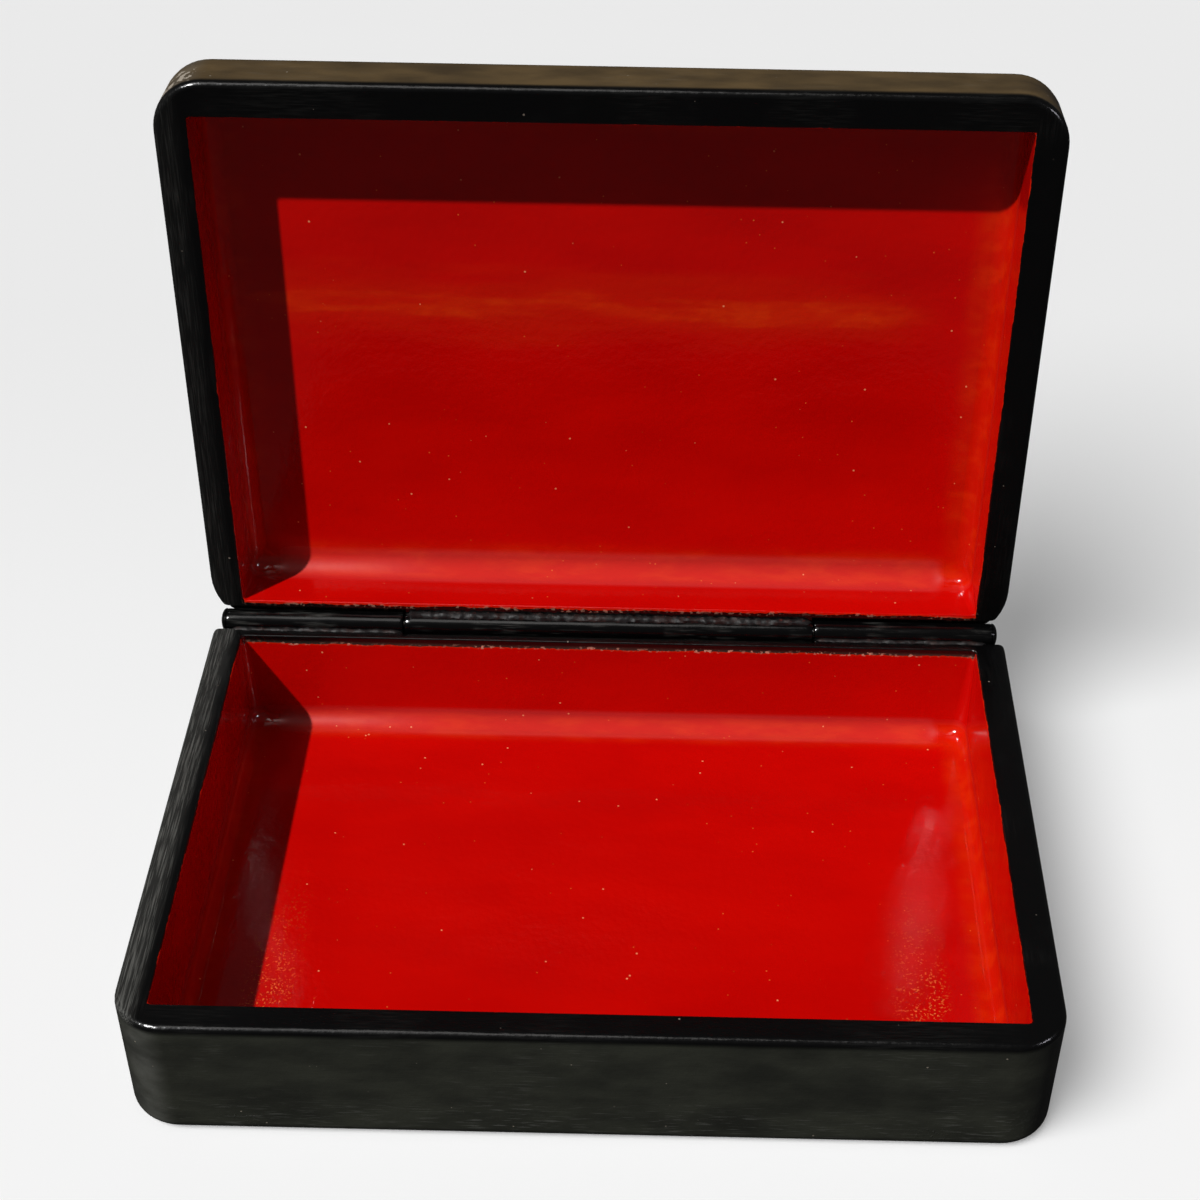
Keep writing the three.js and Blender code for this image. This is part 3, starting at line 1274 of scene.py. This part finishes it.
@dataclass(frozen=True)
class Studio:
    """A pale floor, a sun from the upper left that falls softly on the floor, and a dim sky."""

    sun_direction: Triple = (-0.59, -0.55, 1.0)
    sun_strength: float = 3.9
    floor_sun_strength: float = 3.6
    sun_angle: float = 1.2
    floor_sun_angle: float = 38.0
    sky_strength: float = 0.08
    backdrop: float = 0.84
    gloss_backdrop: float = 0.05
    near_floor: float = 0.925
    dark_floor: float = 0.035
    shadow_lift: float = 0.3
    floor_reach: float = 3.0
    fade_back: Span = (-0.05, 0.22)
    fade_out: Span = (0.25, 0.7)
    windows: tuple[Window, ...] = (
        Window("side_window", (0.81, -0.3, 0.5), 0.14, 1.1, (0.92, 0.90, 1.0)),
        Window("skylight", (-0.12, -0.26, 0.96), 0.36, 0.75, (1.0, 0.97, 0.95)),
    )

    def build(self) -> None:
        """Builds the floor, the sun and the sky."""
        floor = self._floor()
        for name, strength, angle, floor_state in (
            ("sun", self.sun_strength, self.sun_angle, "EXCLUDE"),
            ("floor_sun", self.floor_sun_strength, self.floor_sun_angle, "INCLUDE"),
        ):
            sun = lamp(name, "SUN", strength, self.sun_direction)
            sun.data.angle = math.radians(angle)
            linked = bpy.data.collections.new(f"{name}_floor")
            linked.objects.link(floor)
            sun.light_linking.receiver_collection = linked
            linked.collection_objects[0].light_linking.link_state = floor_state
        for window in self.windows:
            window.build()
        self._sky()

    def _sky(self) -> None:
        """Makes a dim white sky that the camera sees as a pale backdrop and the gloss sees dimmer still."""
        world = bpy.data.worlds.new("sky")
        bpy.context.scene.world = world
        world.use_nodes = True
        tree = Tree(world.node_tree)
        path = tree.node("ShaderNodeLightPath")
        level: Any = self.sky_strength
        for ray, strength in (("Is Glossy Ray", self.gloss_backdrop), ("Is Camera Ray", self.backdrop)):
            level = tree.node("ShaderNodeMix", {0: path.outputs[ray], 2: level, 3: strength}).outputs[0]
        background = tree.node("ShaderNodeBackground", {"Color": (1.0, 1.0, 1.0, 1.0), "Strength": level})
        tree.node("ShaderNodeOutputWorld", {"Surface": background.outputs[0]})

    def _floor(self) -> bpy.types.Object:
        """Makes the floor: pale to the camera, with its shadows, and dark in the box's gloss.

        Returns:
            The floor.
        """
        bm = bmesh.new()
        bmesh.ops.create_grid(bm, x_segments=1, y_segments=1, size=self.floor_reach)
        made = piece("floor", bm, Place(Matrix.Identity(4)))
        graph = Graph("floor_paper")
        outwards = abs(graph.y).most(abs(graph.x))
        far = graph.y.ramp(*self.fade_back).most(outwards.ramp(*self.fade_out))
        dark, near, away = ((level,) * 3 for level in (self.dark_floor, self.near_floor, self.backdrop))
        shade = graph.blend(far, near, away)
        seen = Shade(graph, graph.node("ShaderNodeLightPath").outputs["Is Camera Ray"])
        graph.finish(Base_Color=graph.blend(seen, dark, shade), Roughness=1.0, Specular_IOR_Level=0.0)
        glow = graph.node("ShaderNodeEmission", {"Color": shade, "Strength": 1.0})
        inputs = {0: seen * self.shadow_lift, 1: graph.surface.outputs[0], 2: glow.outputs[0]}
        mixed = graph.node("ShaderNodeMixShader", inputs)
        graph.feed(graph.output.inputs["Surface"], mixed.outputs[0])
        made.data.materials.append(graph.material)
        return made


def places(hinge: HingeSizes) -> dict[Body, Place]:
    """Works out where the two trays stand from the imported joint.

    Args:
        hinge: The hinge's sizes.

    Returns:
        The place of each half.
    """
    joint = next(joint for joint in frame["joints"] if joint["name"] == "lid_hinge")
    shift = Matrix.Translation(joint["pos_m"])
    scale = Matrix.Scale(MM, 4)
    swing = Matrix.Rotation(-math.radians(hinge.open_angle), 4, "X")
    over = Matrix.Rotation(math.pi, 4, "Y")
    return {Body.BASE: Place(shift @ scale), Body.LID: Place(shift @ swing @ over @ scale)}


def extent(node: str, place: Place) -> tuple[Vector, Vector]:
    """Measures a CAD node in tray millimetres.

    Args:
        node: The node's name.
        place: Where its tray stands.

    Returns:
        Its lowest and highest corner.
    """
    back = place.matrix.inverted()
    corners = [back @ vert.co for vert in frame["nodes"][node].data.vertices]
    low, high = (Vector(pick(values) for values in zip(*corners)) for pick in (min, max))
    return low, high


@dataclass(frozen=True)
class Half:
    """What one tray is made from: its CAD nodes, the sizes that they don't give, and its look."""

    body: Body
    nodes: tuple[str, str]
    shape: dict[str, float]
    look: TrayLook


HALVES = (
    Half(
        Body.BASE,
        ("base_wall_frame", "base_bottom_board"),
        {"front_wall": 5.3, "rear_corner": 5.5, "edge_rounding": 2.5, "cove": 2.6},
        # The base's foot carries a painted floor reflection, and its worn flank painted glints.
        TrayLook(BlackLacquer(DULL_GREY_AND_SHEEN, DULL_GREY_AND_SHEEN, floor_reflection_line=0.6), worn_side=-1.0, flank_wear_and_glint=0.85,
                 hinge_lap=2.2, seam_chips=1.0, grit_and_glints=1.0),
    ),
    Half(
        Body.LID,
        ("lid_wall_frame", "lid_top_board"),
        {"front_wall": 6.0, "rear_corner": 11.0, "edge_rounding": 5.0, "cove": 3.2},
        # The lid's front face is painted brown as a sheen.
        TrayLook(BlackLacquer(DULL_GREY_AND_SHEEN, (0.104, 0.066, 0.026)), worn_side=1.0, corner_chips=1.0,
                 ripple_y=-60.0),
    ),
)


def main() -> None:
    """Builds the box and its studio."""
    logging.basicConfig(level=logging.INFO, format="%(name)s: %(message)s")
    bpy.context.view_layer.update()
    hinge = HingeSizes()
    stands = places(hinge)
    for half in HALVES:
        place = stands[half.body]
        (low, high), (under, _) = (extent(node, place) for node in half.nodes)
        sizes = TraySizes(width=high.x - low.x, depth=high.y - low.y, height=high.z - under.z,
                          board=low.z - under.z, **half.shape)
        Tray(half.body, sizes, hinge, place, half.nodes, half.look).shell()
    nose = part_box("hinge_end_seal_right")[1]
    TubeHinge(hinge, nose.x / MM, stands).build()
    pin = frame["nodes"]["hinge_pin"]
    pin.data.materials.clear()
    pin.data.materials.append(steel_wire())
    Studio().build()
    Camera().build()
    bpy.context.scene.view_settings.view_transform = "Standard"
    bpy.context.view_layer.update()


if __name__ == "__main__":
    main()
